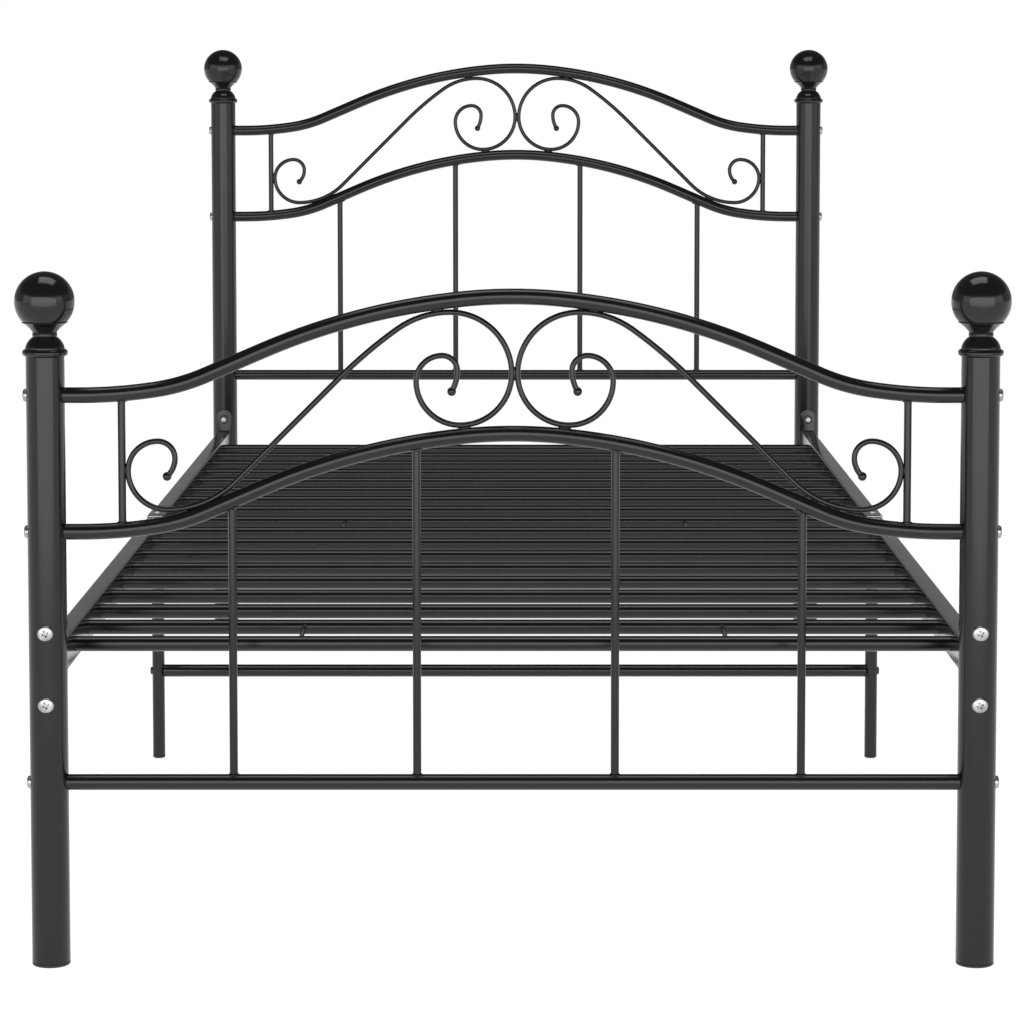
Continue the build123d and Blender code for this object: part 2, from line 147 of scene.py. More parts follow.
def make_surface_group():
    """Cloudy tone and a fine pebbled relief, shared by the finishes."""
    group = bpy.data.node_groups.new("pebbled_surface", "ShaderNodeTree")
    face = group.interface
    for name, value in (
        ("Cloud Scale", 9.0),
        ("Pebble Scale", 650.0),
        ("Pebble Depth", 0.1),
        ("Streak", 1.0),
    ):
        face.new_socket(name, in_out="INPUT", socket_type="NodeSocketFloat").default_value = value
    face.new_socket("Clouds", in_out="OUTPUT", socket_type="NodeSocketFloat")
    face.new_socket("Pebbles", in_out="OUTPUT", socket_type="NodeSocketFloat")
    face.new_socket("Normal", in_out="OUTPUT", socket_type="NodeSocketVector")
    given = group.nodes.new("NodeGroupInput")
    result = group.nodes.new("NodeGroupOutput")
    place = group.nodes.new("ShaderNodeTexCoord")
    stretch = group.nodes.new("ShaderNodeCombineXYZ")
    stretch.inputs["X"].default_value = 1.0
    stretch.inputs["Y"].default_value = 1.0
    squeeze = group.nodes.new("ShaderNodeVectorMath")
    squeeze.operation = "MULTIPLY"
    clouds = group.nodes.new("ShaderNodeTexNoise")
    clouds.inputs["Detail"].default_value = 5.0
    clouds.inputs["Roughness"].default_value = 0.55
    spread = group.nodes.new("ShaderNodeMapRange")
    spread.inputs["From Min"].default_value = 0.3
    spread.inputs["From Max"].default_value = 0.7
    pebbles = group.nodes.new("ShaderNodeTexNoise")
    pebbles.inputs["Detail"].default_value = 2.0
    bump = group.nodes.new("ShaderNodeBump")
    bump.inputs["Distance"].default_value = 0.0004
    connect(group, given, "Streak", stretch, "Z")
    connect(group, place, "Object", squeeze, 0)
    connect(group, stretch, "Vector", squeeze, 1)
    connect(group, squeeze, "Vector", clouds, "Vector")
    connect(group, squeeze, "Vector", pebbles, "Vector")
    connect(group, given, "Cloud Scale", clouds, "Scale")
    connect(group, given, "Pebble Scale", pebbles, "Scale")
    connect(group, given, "Pebble Depth", bump, "Strength")
    connect(group, clouds, "Fac", spread, "Value")
    connect(group, pebbles, "Fac", bump, "Height")
    connect(group, spread, "Result", result, "Clouds")
    connect(group, pebbles, "Fac", result, "Pebbles")
    connect(group, bump, "Normal", result, "Normal")
    return group


surface_group = make_surface_group()


def make_finish(name, dark, light, rough, clouds, pebbles, depth, fixed, streak=1.0):
    """A finish whose colour and gloss drift between two values over the surface."""
    material = bpy.data.materials.new(name)
    material.use_nodes = True
    tree = material.node_tree
    shader = tree.nodes["Principled BSDF"]
    for socket, value in fixed.items():
        shader.inputs[socket].default_value = value
    surface = tree.nodes.new("ShaderNodeGroup")
    surface.node_tree = surface_group
    surface.inputs["Cloud Scale"].default_value = clouds
    surface.inputs["Pebble Scale"].default_value = pebbles
    surface.inputs["Pebble Depth"].default_value = depth
    surface.inputs["Streak"].default_value = streak
    tone = tree.nodes.new("ShaderNodeMix")
    tone.data_type = "RGBA"
    tone.inputs["A"].default_value = (*dark, 1.0)
    tone.inputs["B"].default_value = (*light, 1.0)
    gloss = tree.nodes.new("ShaderNodeMapRange")
    gloss.inputs["To Min"].default_value = rough[0]
    gloss.inputs["To Max"].default_value = rough[1]
    connect(tree, surface, "Clouds", tone, "Factor")
    connect(tree, surface, "Clouds", gloss, "Value")
    connect(tree, tone, "Result", shader, "Base Color")
    connect(tree, gloss, "Result", shader, "Roughness")
    connect(tree, surface, "Normal", shader, "Normal")
    return material


powder_coat = make_finish(
    "black_powder_coat",
    dark=(0.003, 0.003, 0.0033),
    light=(0.0045, 0.0045, 0.005),
    rough=(0.15, 0.2),
    clouds=9.0,
    pebbles=620.0,
    depth=0.03,
    fixed={"IOR": 1.46},
)
gloss_black = make_finish(
    "finial_gloss_black",
    dark=(0.004, 0.004, 0.0043),
    light=(0.006, 0.006, 0.0065),
    rough=(0.12, 0.16),
    clouds=30.0,
    pebbles=220.0,
    depth=0.015,
    fixed={"IOR": 1.46},
)
cap_plastic = make_finish(
    "cap_black_plastic",
    dark=(0.014, 0.014, 0.015),
    light=(0.022, 0.022, 0.023),
    rough=(0.42, 0.56),
    clouds=60.0,
    pebbles=1500.0,
    depth=0.3,
    fixed={"IOR": 1.46},
)
zinc = make_finish(
    "zinc_plated_steel",
    dark=(0.3, 0.31, 0.33),
    light=(0.52, 0.52, 0.51),
    rough=(0.24, 0.36),
    clouds=220.0,
    pebbles=1900.0,
    depth=0.2,
    fixed={"Metallic": 1.0},
    streak=0.25,
)
bare_steel = make_finish(
    "bare_steel",
    dark=(0.36, 0.36, 0.37),
    light=(0.52, 0.52, 0.53),
    rough=(0.3, 0.45),
    clouds=120.0,
    pebbles=1600.0,
    depth=0.2,
    fixed={"Metallic": 1.0},
)
black_oxide = make_finish(
    "black_oxide_steel",
    dark=(0.016, 0.016, 0.018),
    light=(0.034, 0.034, 0.037),
    rough=(0.34, 0.5),
    clouds=180.0,
    pebbles=1700.0,
    depth=0.25,
    fixed={"IOR": 1.5},
)
FINISHES = {
    "black_powder_coat": powder_coat,
    "finial_gloss_black": gloss_black,
    "cap_black_plastic": cap_plastic,
    "zinc_plated_steel": zinc,
    "bare_steel": bare_steel,
    "black_oxide_steel": black_oxide,
}


# ---- Ways of making a shape


def finish_piece(bm, name, slot, stands_for=(), sharp_above=35.0):
    """Turn a shape in millimetres into a named piece of the bed."""
    bmesh.ops.remove_doubles(bm, verts=bm.verts, dist=0.01)
    bmesh.ops.recalc_face_normals(bm, faces=bm.faces)
    bmesh.ops.scale(bm, vec=(MM, MM, MM), verts=bm.verts)
    for part in bm.faces:
        part.smooth = True
    mesh = bpy.data.meshes.new(name)
    bm.to_mesh(mesh)
    bm.free()
    mesh.set_sharp_from_angle(angle=math.radians(sharp_above))
    mesh.materials.append(FINISHES[slot])
    piece = bpy.data.objects.new(name, mesh)
    bpy.context.scene.collection.objects.link(piece)
    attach(piece, "root")
    if stands_for:
        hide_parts(*stands_for)
    return piece


def facing(origin, direction):
    """A place whose Z axis points along direction."""
    turn = Vector(direction).to_track_quat("Z", "Y").to_matrix().to_4x4()
    return Matrix.Translation(origin) @ turn


def arc(start, through, end, steps=8):
    """Points on the arc from start through a middle point to end."""
    (ax, ay), (bx, by), (cx, cy) = start, through, end
    d = 2 * (ax * (by - cy) + bx * (cy - ay) + cx * (ay - by))
    a2, b2, c2 = ax * ax + ay * ay, bx * bx + by * by, cx * cx + cy * cy
    ux = (a2 * (by - cy) + b2 * (cy - ay) + c2 * (ay - by)) / d
    uy = (a2 * (cx - bx) + b2 * (ax - cx) + c2 * (bx - ax)) / d
    radius = math.hypot(ax - ux, ay - uy)
    first = math.atan2(ay - uy, ax - ux)
    middle = (math.atan2(by - uy, bx - ux) - first) % math.tau
    sweep = (math.atan2(cy - uy, cx - ux) - first) % math.tau
    if middle > sweep:
        sweep -= math.tau
    angles = [first + sweep * i / steps for i in range(steps + 1)]
    return [(ux + radius * math.cos(a), uy + radius * math.sin(a)) for a in angles]


def lathe(bm, profile, place=Matrix(), steps=48):
    """Turn a profile of (radius, height) points about the Z axis of a place."""
    before = set(bm.verts)
    points = [bm.verts.new((radius, 0.0, height)) for radius, height in profile]
    edges = [bm.edges.new(pair) for pair in zip(points, points[1:])]
    bmesh.ops.spin(
        bm,
        geom=points + edges,
        cent=(0, 0, 0),
        axis=(0, 0, 1),
        angle=math.tau,
        steps=steps,
        use_merge=True,
    )
    made = [v for v in bm.verts if v not in before]
    bmesh.ops.transform(bm, matrix=place, verts=made)


def rod(bm, start, end, radius, sides=32):
    """A straight round bar between two points, its cut ends just broken."""
    start, end = Vector(start), Vector(end)
    length = (end - start).length
    rim = radius * 0.08
    outline = [
        (0.0, 0.0),
        (radius - rim, 0.0),
        (radius, rim),
        (radius, length - rim),
        (radius - rim, length),
        (0.0, length),
    ]
    lathe(bm, outline, facing(start, end - start), sides)


def block(bm, centre, size, edge, segments=3, long_axis=None):
    """A box with rounded edges, on all of them or only on those along one axis."""
    made = bmesh.ops.create_cube(bm, size=1.0)["verts"]
    bmesh.ops.transform(
        bm, matrix=Matrix.Translation(centre) @ Matrix.Diagonal((*size, 1.0)), verts=made
    )
    edges = {e for v in made for e in v.link_edges}
    if long_axis is not None:
        runs = {e: e.verts[0].co - e.verts[1].co for e in edges}
        edges = {e for e, run in runs.items() if abs(run[long_axis]) > 0.9 * run.length}
    bmesh.ops.bevel(
        bm,
        geom=list(edges),
        offset=edge,
        affect="EDGES",
        segments=segments,
        profile=0.5,
        material=-1,
    )


def bead(bm, place, ring_radius, thickness, steps=28, squash=1.0):
    """A weld bead: a thin ring of round section about the Z axis of a place."""
    before = set(bm.verts)
    turn = Matrix.Translation((ring_radius, 0, 0)) @ Matrix.Rotation(math.pi / 2, 4, "X")
    ring = bmesh.ops.create_circle(bm, segments=10, radius=thickness, matrix=turn)["verts"]
    edges = list({e for v in ring for e in v.link_edges})
    bmesh.ops.spin(
        bm,
        geom=ring + edges,
        cent=(0, 0, 0),
        axis=(0, 0, 1),
        angle=math.tau,
        steps=steps,
        use_merge=True,
    )
    made = [v for v in bm.verts if v not in before]
    bmesh.ops.scale(bm, vec=(1.0, 1.0, squash), verts=made)
    bmesh.ops.transform(bm, matrix=place, verts=made)


def tack(bm, place, size):
    """A small blob of weld metal, longer along the Z axis of a place."""
    scaled = place @ Matrix.Diagonal((*size, 1.0))
    bmesh.ops.create_uvsphere(bm, u_segments=16, v_segments=10, radius=1.0, matrix=scaled)


def walk(start, heading, steps, gap=2.0):
    """Points and headings along a chain of straight runs and tangent arcs."""
    x, z = start
    angle = math.radians(heading)
    points = [(x, z, angle)]
    for radius, amount in steps:
        if radius is None:
            count = max(2, round(amount / gap))
            for i in range(1, count + 1):
                run = amount * i / count
                points.append((x + run * math.cos(angle), z + run * math.sin(angle), angle))
        else:
            side = math.copysign(radius, amount)
            turn = math.radians(amount)
            centre = (x - side * math.sin(angle), z + side * math.cos(angle))
            count = max(3, round(radius * abs(turn) / gap))
            for i in range(1, count + 1):
                a = angle + turn * i / count
                points.append((centre[0] + side * math.sin(a), centre[1] - side * math.cos(a), a))
        x, z, angle = points[-1]
    return points


def bent_rod(bm, start, heading, steps, radius, y, sides=20):
    """A round bar drawn out along straight runs and arcs in an upright plane."""
    x, z = start
    angle = math.radians(heading)
    across, up = Vector((0, 1, 0)), Vector((-math.sin(angle), 0, math.cos(angle)))
    along = Vector((math.cos(angle), 0, math.sin(angle)))
    place = Matrix.Translation((x, y, z)) @ Matrix((across, up, along)).transposed().to_4x4()
    ring = bmesh.ops.create_circle(bm, segments=sides, radius=radius, matrix=place)["verts"]
    edges = list({e for v in ring for e in v.link_edges})
    for bend, amount in steps:
        if bend is None:
            run = Vector((math.cos(angle), 0, math.sin(angle))) * amount
            drawn = bmesh.ops.extrude_edge_only(bm, edges=edges)["geom"]
            ring = [v for v in drawn if isinstance(v, bmesh.types.BMVert)]
            bmesh.ops.translate(bm, vec=run, verts=ring)
            ends = set(ring)
            edges = [
                e for e in drawn if isinstance(e, bmesh.types.BMEdge) and set(e.verts) <= ends
            ]
            x, z = x + run.x, z + run.z
        else:
            side = math.copysign(bend, amount)
            turn = math.radians(amount)
            centre = (x - side * math.sin(angle), z + side * math.cos(angle))
            finest = 1.2 if bend > 150 else 4.5
            drawn = bmesh.ops.spin(
                bm,
                geom=ring + edges,
                cent=(centre[0], y, centre[1]),
                axis=(0, 1, 0),
                angle=-turn,
                steps=max(4, math.ceil(abs(amount) / finest)),
            )["geom_last"]
            ring = [v for v in drawn if isinstance(v, bmesh.types.BMVert)]
            edges = [e for e in drawn if isinstance(e, bmesh.types.BMEdge)]
            angle += turn
            x, z = centre[0] + side * math.sin(angle), centre[1] - side * math.cos(angle)


def nearest(line_a, line_b):
    """The closest pair of points of two lines."""
    pairs = ((math.hypot(a[0] - b[0], a[1] - b[1]), a, b) for a in line_a for b in line_b)
    return min(pairs, key=lambda pair: pair[0])


# ---- End panels


def half_arch():
    """Steps of half an arch, from its post to its crown."""
    steps = [(radius, turn) for radius, turn in reversed(SHOULDER)]
    steps.append((None, FLANK_RUN))
    return steps + [(radius, -turn) for radius, turn in reversed(CROWN)]


HALF_ARCH = half_arch()
ARCH_REACH = walk((0.0, 0.0), 0.0, HALF_ARCH)[-1][0]
ARCH_TUCK = 9.0
ARCH_STRAIGHT = POST_X - ARCH_TUCK - ARCH_REACH
ARCH_STEPS = (
    [(None, ARCH_STRAIGHT)] + HALF_ARCH + HALF_ARCH[::-1] + [(None, ARCH_STRAIGHT)]
)


def arch_line(z):
    """Centre line of the arch whose ends are at height z."""
    return walk((-POST_X + ARCH_TUCK, z), 0.0, ARCH_STEPS)


def at_x(line, x):
    """The point of a line nearest to an upright through x."""
    return min(line, key=lambda point: abs(point[0] - x))


def scroll_chains(side):
    """Start, and the outer and inner chains of heading and steps of a scroll."""
    start = (SCROLL_MIDDLE_X - side * SCROLL_START[0], SCROLL_START[1])
    outer = [(radius, side * turn) for radius, turn in OUTER_CURL]
    inner = [(None, SCROLL_DIAGONAL)] + [(radius, side * turn) for radius, turn in INNER_CURL]
    down = 225.0 if side < 0 else -45.0
    return start, (down, outer), (down + 180.0, inner)


def make_scroll(end, name, side):
    """A scroll rod with a small ball at each tip."""
    y = ENDS[end] * POST_Y
    start, *chains = scroll_chains(side)
    start = (start[0], start[1] + PANEL_RISE[end])
    bm = bmesh.new()
    for heading, steps in chains:
        bent_rod(bm, start, heading, steps, SCROLL_ROD, y)
        x, z, _ = walk(start, heading, steps)[-1]
        tip = Matrix.Translation((x, y, z))
        bmesh.ops.create_uvsphere(
            bm, u_segments=28, v_segments=18, radius=SCROLL_TIP, matrix=tip
        )
    finish_piece(
        bm, f"{end}_scroll_rod_{name}", "black_powder_coat", [f"{end}_scroll_{name}"]
    )
    return [walk(start, heading, steps) for heading, steps in chains]


def make_panel(end):
    """Arches, bottom rail, bars, scrolls and welds of one end panel."""
    y = ENDS[end] * POST_Y
    rise = PANEL_RISE[end]
    low, top = LOWER_ARCH_Z + rise, TOP_ARCH_Z + rise
    rail_z = BOTTOM_RAIL_Z + rise
    lines = {"lower_arch": arch_line(low), "top_arch": arch_line(top)}
    for name, line in lines.items():
        bm = bmesh.new()
        bent_rod(bm, line[0][:2], 0.0, ARCH_STEPS, PANEL_TUBE, y, sides=36)
        finish_piece(bm, f"{end}_{name}_tube", "black_powder_coat", [f"{end}_{name}"])
    bm = bmesh.new()
    tuck = POST_X - ARCH_TUCK
    rod(bm, (-tuck, y, rail_z), (tuck, y, rail_z), PANEL_TUBE, sides=36)
    finish_piece(
        bm, f"{end}_bottom_rail_tube", "black_powder_coat", [f"{end}_bottom_rail"]
    )

    bars = bmesh.new()
    welds = bmesh.new()
    for x in LONG_BAR_X:
        _, z, slope = at_x(lines["lower_arch"], x)
        rod(bars, (x, y, rail_z), (x, y, z), LONG_BAR, sides=28)
        foot = (x, y, rail_z + RAIL_BEAD_LIFT)
        bead(welds, facing(foot, (0, 0, 1)), LONG_BAR, BAR_BEAD)
        across, up = math.sin(slope), math.cos(slope)
        under = (x + ARCH_BEAD_LIFT * across, y, z - ARCH_BEAD_LIFT * up)
        bead(welds, facing(under, (-across, 0, up)), LONG_BAR, BAR_BEAD)
    finish_piece(bars, f"{end}_long_bar_rods", "black_powder_coat", [f"{end}_long_bars"])

    bars = bmesh.new()
    for side in SIDES.values():
        x = SCROLL_MIDDLE_X + side * SHORT_BAR_X
        heights = []
        for name, lift in (("lower_arch", ARCH_BEAD_LIFT), ("top_arch", -ARCH_BEAD_LIFT)):
            _, z, slope = at_x(lines[name], x)
            heights.append(z)
            across, up = math.sin(slope), math.cos(slope)
            joint = (x - lift * across, y, z + lift * up)
            bead(welds, facing(joint, (-across, 0, up)), SHORT_BAR, SHORT_BAR_BEAD)
        rod(bars, (x, y, heights[0]), (x, y, heights[1]), SHORT_BAR, sides=28)
    finish_piece(bars, f"{end}_short_bar_rods", "black_powder_coat", [f"{end}_short_bars"])

    scrolls = {name: make_scroll(end, name, side) for name, side in SIDES.items()}
    for name, (outer, inner) in scrolls.items():
        for line, arch in (
            (outer, lines["lower_arch"]),
            (inner, lines["lower_arch"]),
            (inner, lines["top_arch"]),
        ):
            gap, a, b = nearest(line, arch)
            if gap < PANEL_TUBE + SCROLL_ROD + TACK_REACH:
                share = SCROLL_ROD / (SCROLL_ROD + PANEL_TUBE)
                point = (a[0] + (b[0] - a[0]) * share, y, a[1] + (b[1] - a[1]) * share)
                along = (math.cos(b[2]), 0, math.sin(b[2]))
                tack(welds, facing(point, along), ARCH_TACK)
        x = SCROLL_MIDDLE_X + SIDES[name] * SHORT_BAR_X
        bar = [(x, low + i * 2.0, math.pi / 2) for i in range(70)]
        _, a, b = nearest(outer, bar)
        tack(welds, facing(((a[0] + b[0]) / 2, y, a[1]), (0, 0, 1)), BAR_TACK)
    _, a, b = nearest(scrolls["left"][1], scrolls["right"][1])
    tack(welds, facing((SCROLL_MIDDLE_X, y, a[1]), (0, 0, 1)), MIDDLE_TACK)
    finish_piece(welds, f"{end}_panel_welds", "black_powder_coat")


# ---- Posts, caps and finials


def base_profile():
    """Outline of the turned finial base, from the post top to the cup."""
    points = [(17.7, -2.0), (19.0, -0.2), (19.3, 0.0)]
    points += arc((19.3, 0.0), (22.7, 3.6), (20.1, 7.2), 12)[1:]
    points += [(19.7, 7.5)]
    points += arc((19.7, 7.9), (18.1, 12.6), (12.6, 19.0), 10)
    points += arc((11.9, 19.4), (12.5, 21.6), (11.9, 23.8), 6)
    points += arc((12.0, 24.0), (15.9, 28.6), (22.1, 33.2), 10)
    points += [(22.6, 33.5), (22.8, 33.9), (22.6, 34.2), (22.2, 34.3), (0.0, 34.3)]
    return points


def ball_profile():
    """Outline of the ball about its centre, with the flat seat that the cup holds."""
    seat = (BALL_RADIUS * 0.6, -BALL_RADIUS * 0.8)
    round_side = arc(seat, (BALL_RADIUS, 0.0), (0.0, BALL_RADIUS), 44)
    return [(0.0, seat[1]), (seat[0] - 0.8, seat[1])] + round_side


def cap_profile(radius, edge):
    """Outline of a plastic cap: flat foot, rounded edge and a narrow seam at the tube."""
    inner = radius - edge
    rounding = arc(
        (inner, 0.0), (inner + edge * 0.707, edge * 0.293), (radius, edge), 6
    )
    return [(0.0, 0.0)] + rounding + [
        (radius, CAP_FLANGE - 0.4),
        (radius - 0.3, CAP_FLANGE - 0.1),
        (radius - 1.2, CAP_FLANGE),
        (radius - 1.2, CAP_FLANGE + 2.0),
    ]


def tube_profile(radius, bottom, top):
    """Outline of a post or leg tube with its cut ends just broken."""
    return [
        (radius - TUBE_LIP, bottom),
        (radius - BROKEN_EDGE, bottom),
        (radius, bottom + BROKEN_EDGE),
        (radius, top - BROKEN_EDGE),
        (radius - BROKEN_EDGE, top),
        (radius - TUBE_LIP, top),
    ]


def make_post(end, name, side):
    """A corner post with its cap and finial."""
    x, y = side * POST_X, ENDS[end] * POST_Y
    top = POST_TOP[end]
    bm = bmesh.new()
    lathe(bm, tube_profile(POST_RADIUS, CAP_FLANGE, top), Matrix.Translation((x, y, 0)), 72)
    finish_piece(bm, f"{end}_post_tube_{name}", "black_powder_coat", [f"{end}_post_{name}"])

    bm = bmesh.new()
    lathe(bm, cap_profile(POST_RADIUS, 2.0), Matrix.Translation((x, y, 0)), 64)
    finish_piece(
        bm, f"{end}_post_foot_{name}", "cap_black_plastic", [f"{end}_post_cap_{name}"]
    )

    bm = bmesh.new()
    lathe(bm, base_profile(), Matrix.Translation((x, y, top)), 72)
    finish_piece(
        bm,
        f"{end}_finial_turned_base_{name}",
        "finial_gloss_black",
        [f"{end}_finial_base_{name}"],
        sharp_above=50.0,
    )

    bm = bmesh.new()
    lathe(bm, ball_profile(), Matrix.Translation((x, y, top + BALL_CENTRE)), 72)
    finish_piece(
        bm, f"{end}_finial_globe_{name}", "finial_gloss_black", [f"{end}_finial_ball_{name}"]
    )


# ---- Fasteners


def cut_away(mesh, cutter, turn):
    """The mesh with a cutter, turned about Z, taken out of it."""
    body = bpy.data.objects.new("blank", mesh)
    knife = bpy.data.objects.new("knife", cutter)
    knife.rotation_euler = (0, 0, turn)
    for item in (body, knife):
        bpy.context.scene.collection.objects.link(item)
    cut = body.modifiers.new("cut", "BOOLEAN")
    cut.operation = "DIFFERENCE"
    cut.object = knife
    cut.solver = "EXACT"
    bpy.context.view_layer.update()
    result = bpy.data.meshes.new_from_object(
        body.evaluated_get(bpy.context.evaluated_depsgraph_get())
    )
    bpy.data.objects.remove(body)
    bpy.data.objects.remove(knife)
    return result


def cross_head(radius, height, sink):
    """Pan head of a cross-head screw, standing on z = 0 and sunk by sink below it."""
    bm = bmesh.new()
    profile = [(0.0, -sink), (radius, -sink), (radius, height * 0.3)]
    shoulder = arc(
        (radius, height * 0.3),
        (radius * 0.9, height * 0.66),
        (radius * 0.62, height * 0.88),
        6,
    )
    crown = arc(
        (radius * 0.62, height * 0.88), (radius * 0.32, height * 0.97), (0.0, height), 6
    )
    lathe(bm, profile + shoulder[1:] + crown[1:], steps=40)
    bmesh.ops.remove_doubles(bm, verts=bm.verts, dist=0.005)
    bmesh.ops.recalc_face_normals(bm, faces=bm.faces)
    blank = bpy.data.meshes.new("head_blank")
    bm.to_mesh(blank)
    bm.free()

    bm = bmesh.new()
    made = bmesh.ops.create_cube(bm, size=1.0)["verts"]
    bmesh.ops.scale(bm, vec=(radius * 1.3, radius * 0.36, height * 1.6), verts=made)
    deep = [v for v in made if v.co.z < 0]
    bmesh.ops.scale(bm, vec=(0.42, 0.55, 1.0), verts=deep)
    bmesh.ops.translate(bm, vec=(0, 0, height * 1.08), verts=made)
    wing = bpy.data.meshes.new("recess_wing")
    bm.to_mesh(wing)
    bm.free()
    for turn in (math.radians(20), math.radians(110)):
        blank = cut_away(blank, wing, turn)
    return blank


def place_copies(bm, mesh, places):
    """Add a copy of a mesh at each place."""
    for place in places:
        before = set(bm.verts)
        bm.from_mesh(mesh)
        made = [v for v in bm.verts if v not in before]
        bmesh.ops.transform(bm, matrix=place, verts=made)


def thread(bm, place, radius, length, pitch=1.25):
    """Rolled thread on the end of a bolt, chamfered at its tip."""
    turns = int(length / pitch)
    points = [(radius - 0.55, -1.0)]
    for i in range(turns):
        z = i * pitch
        points += [(radius, z + pitch * 0.4), (radius - 0.55, z + pitch * 0.9)]
    points += [(radius - 0.6, length - 0.05), (radius - 1.0, length), (0.0, length)]
    lathe(bm, points, place, steps=32)


def hex_nut(bm, place, across, height):
    """Hexagon nut standing on the place, with its outer corners taken off."""
    flat = Matrix.Translation((0, 0, height / 2))
    made = bmesh.ops.create_cone(
        bm,
        cap_ends=True,
        segments=6,
        radius1=across / math.sqrt(3),
        radius2=across / math.sqrt(3),
        depth=height,
        matrix=flat,
    )["verts"]
    rim = [
        e
        for e in {e for v in made for e in v.link_edges}
        if min(v.co.z for v in e.verts) > height * 0.9
    ]
    before = set(bm.verts) - set(made)
    bmesh.ops.bevel(
        bm, geom=rim, offset=0.9, affect="EDGES", segments=3, profile=0.5, material=-1
    )
    made = [v for v in bm.verts if v not in before]
    bmesh.ops.transform(bm, matrix=place, verts=made)


def make_fasteners():
    """Every screw, bolt end and nut that shows."""
    for end, sign in ENDS.items():
        head = cross_head(*PANEL_SCREW_HEAD, HEAD_SINK)
        rise = PANEL_RISE[end]
        places = [
            facing((side * (POST_X + POST_RADIUS), sign * POST_Y, z + rise), (side, 0, 0))
            for side in SIDES.values()
            for z in (BOTTOM_RAIL_Z, LOWER_ARCH_Z, TOP_ARCH_Z)
        ]
        bm = bmesh.new()
        place_copies(bm, head, places)
        finish_piece(
            bm, f"{end}_panel_screw_heads", "zinc_plated_steel", [f"{end}_panel_screws"]
        )

    corners = [(side, end) for side in SIDES.values() for end in ENDS.values()]
    heights = (RAIL_Z - BRACKET_BOLT_OFFSET, RAIL_Z + BRACKET_BOLT_OFFSET)
    bm = bmesh.new()
    head = cross_head(*RAIL_BOLT_HEAD, HEAD_SINK)
    places = [
        facing((side * POST_X, end * (POST_Y + POST_RADIUS), z), (0, end, 0))
        for side, end in corners
        for z in heights
    ]
    place_copies(bm, head, places)
    inner = RAIL_END_Y - NUT[1]
    for side, end in corners:
        for z in heights:
            thread(bm, facing((side * POST_X, end * inner, z), (0, -end, 0)), 4.0, BOLT_TIP)
    finish_piece(bm, "rail_bolt_heads_and_tips", "zinc_plated_steel", ["rail_bolts"])

    bm = bmesh.new()
    for side, end in corners:
        for z in heights:
            face = facing((side * POST_X, end * RAIL_END_Y, z), (0, -end, 0))
            hex_nut(bm, face, *NUT)
    finish_piece(
        bm, "rail_bracket_nuts", "black_oxide_steel", ["bracket_nuts"], sharp_above=25.0
    )

    bm = bmesh.new()
    head = cross_head(*LEG_BOLT_HEAD, 0.0)
    places = [
        Matrix.Translation((side * POST_X, 0, RAIL_TOP + PLATE[2])) for side in SIDES.values()
    ]
    place_copies(bm, head, places)
    finish_piece(bm, "mid_leg_bolt_heads", "zinc_plated_steel", ["mid_leg_bolts"])

    bm = bmesh.new()
    head = cross_head(*CROSSBAR_BOLT_HEAD, HEAD_SINK)
    places = [
        facing((side * (POST_X + LEG), 0, CROSSBAR_Z), (side, 0, 0)) for side in SIDES.values()
    ]
    place_copies(bm, head, places)
    finish_piece(bm, "crossbar_bolt_heads", "black_oxide_steel", ["crossbar_bolts"])


# ---- Side rails, slats and mid legs


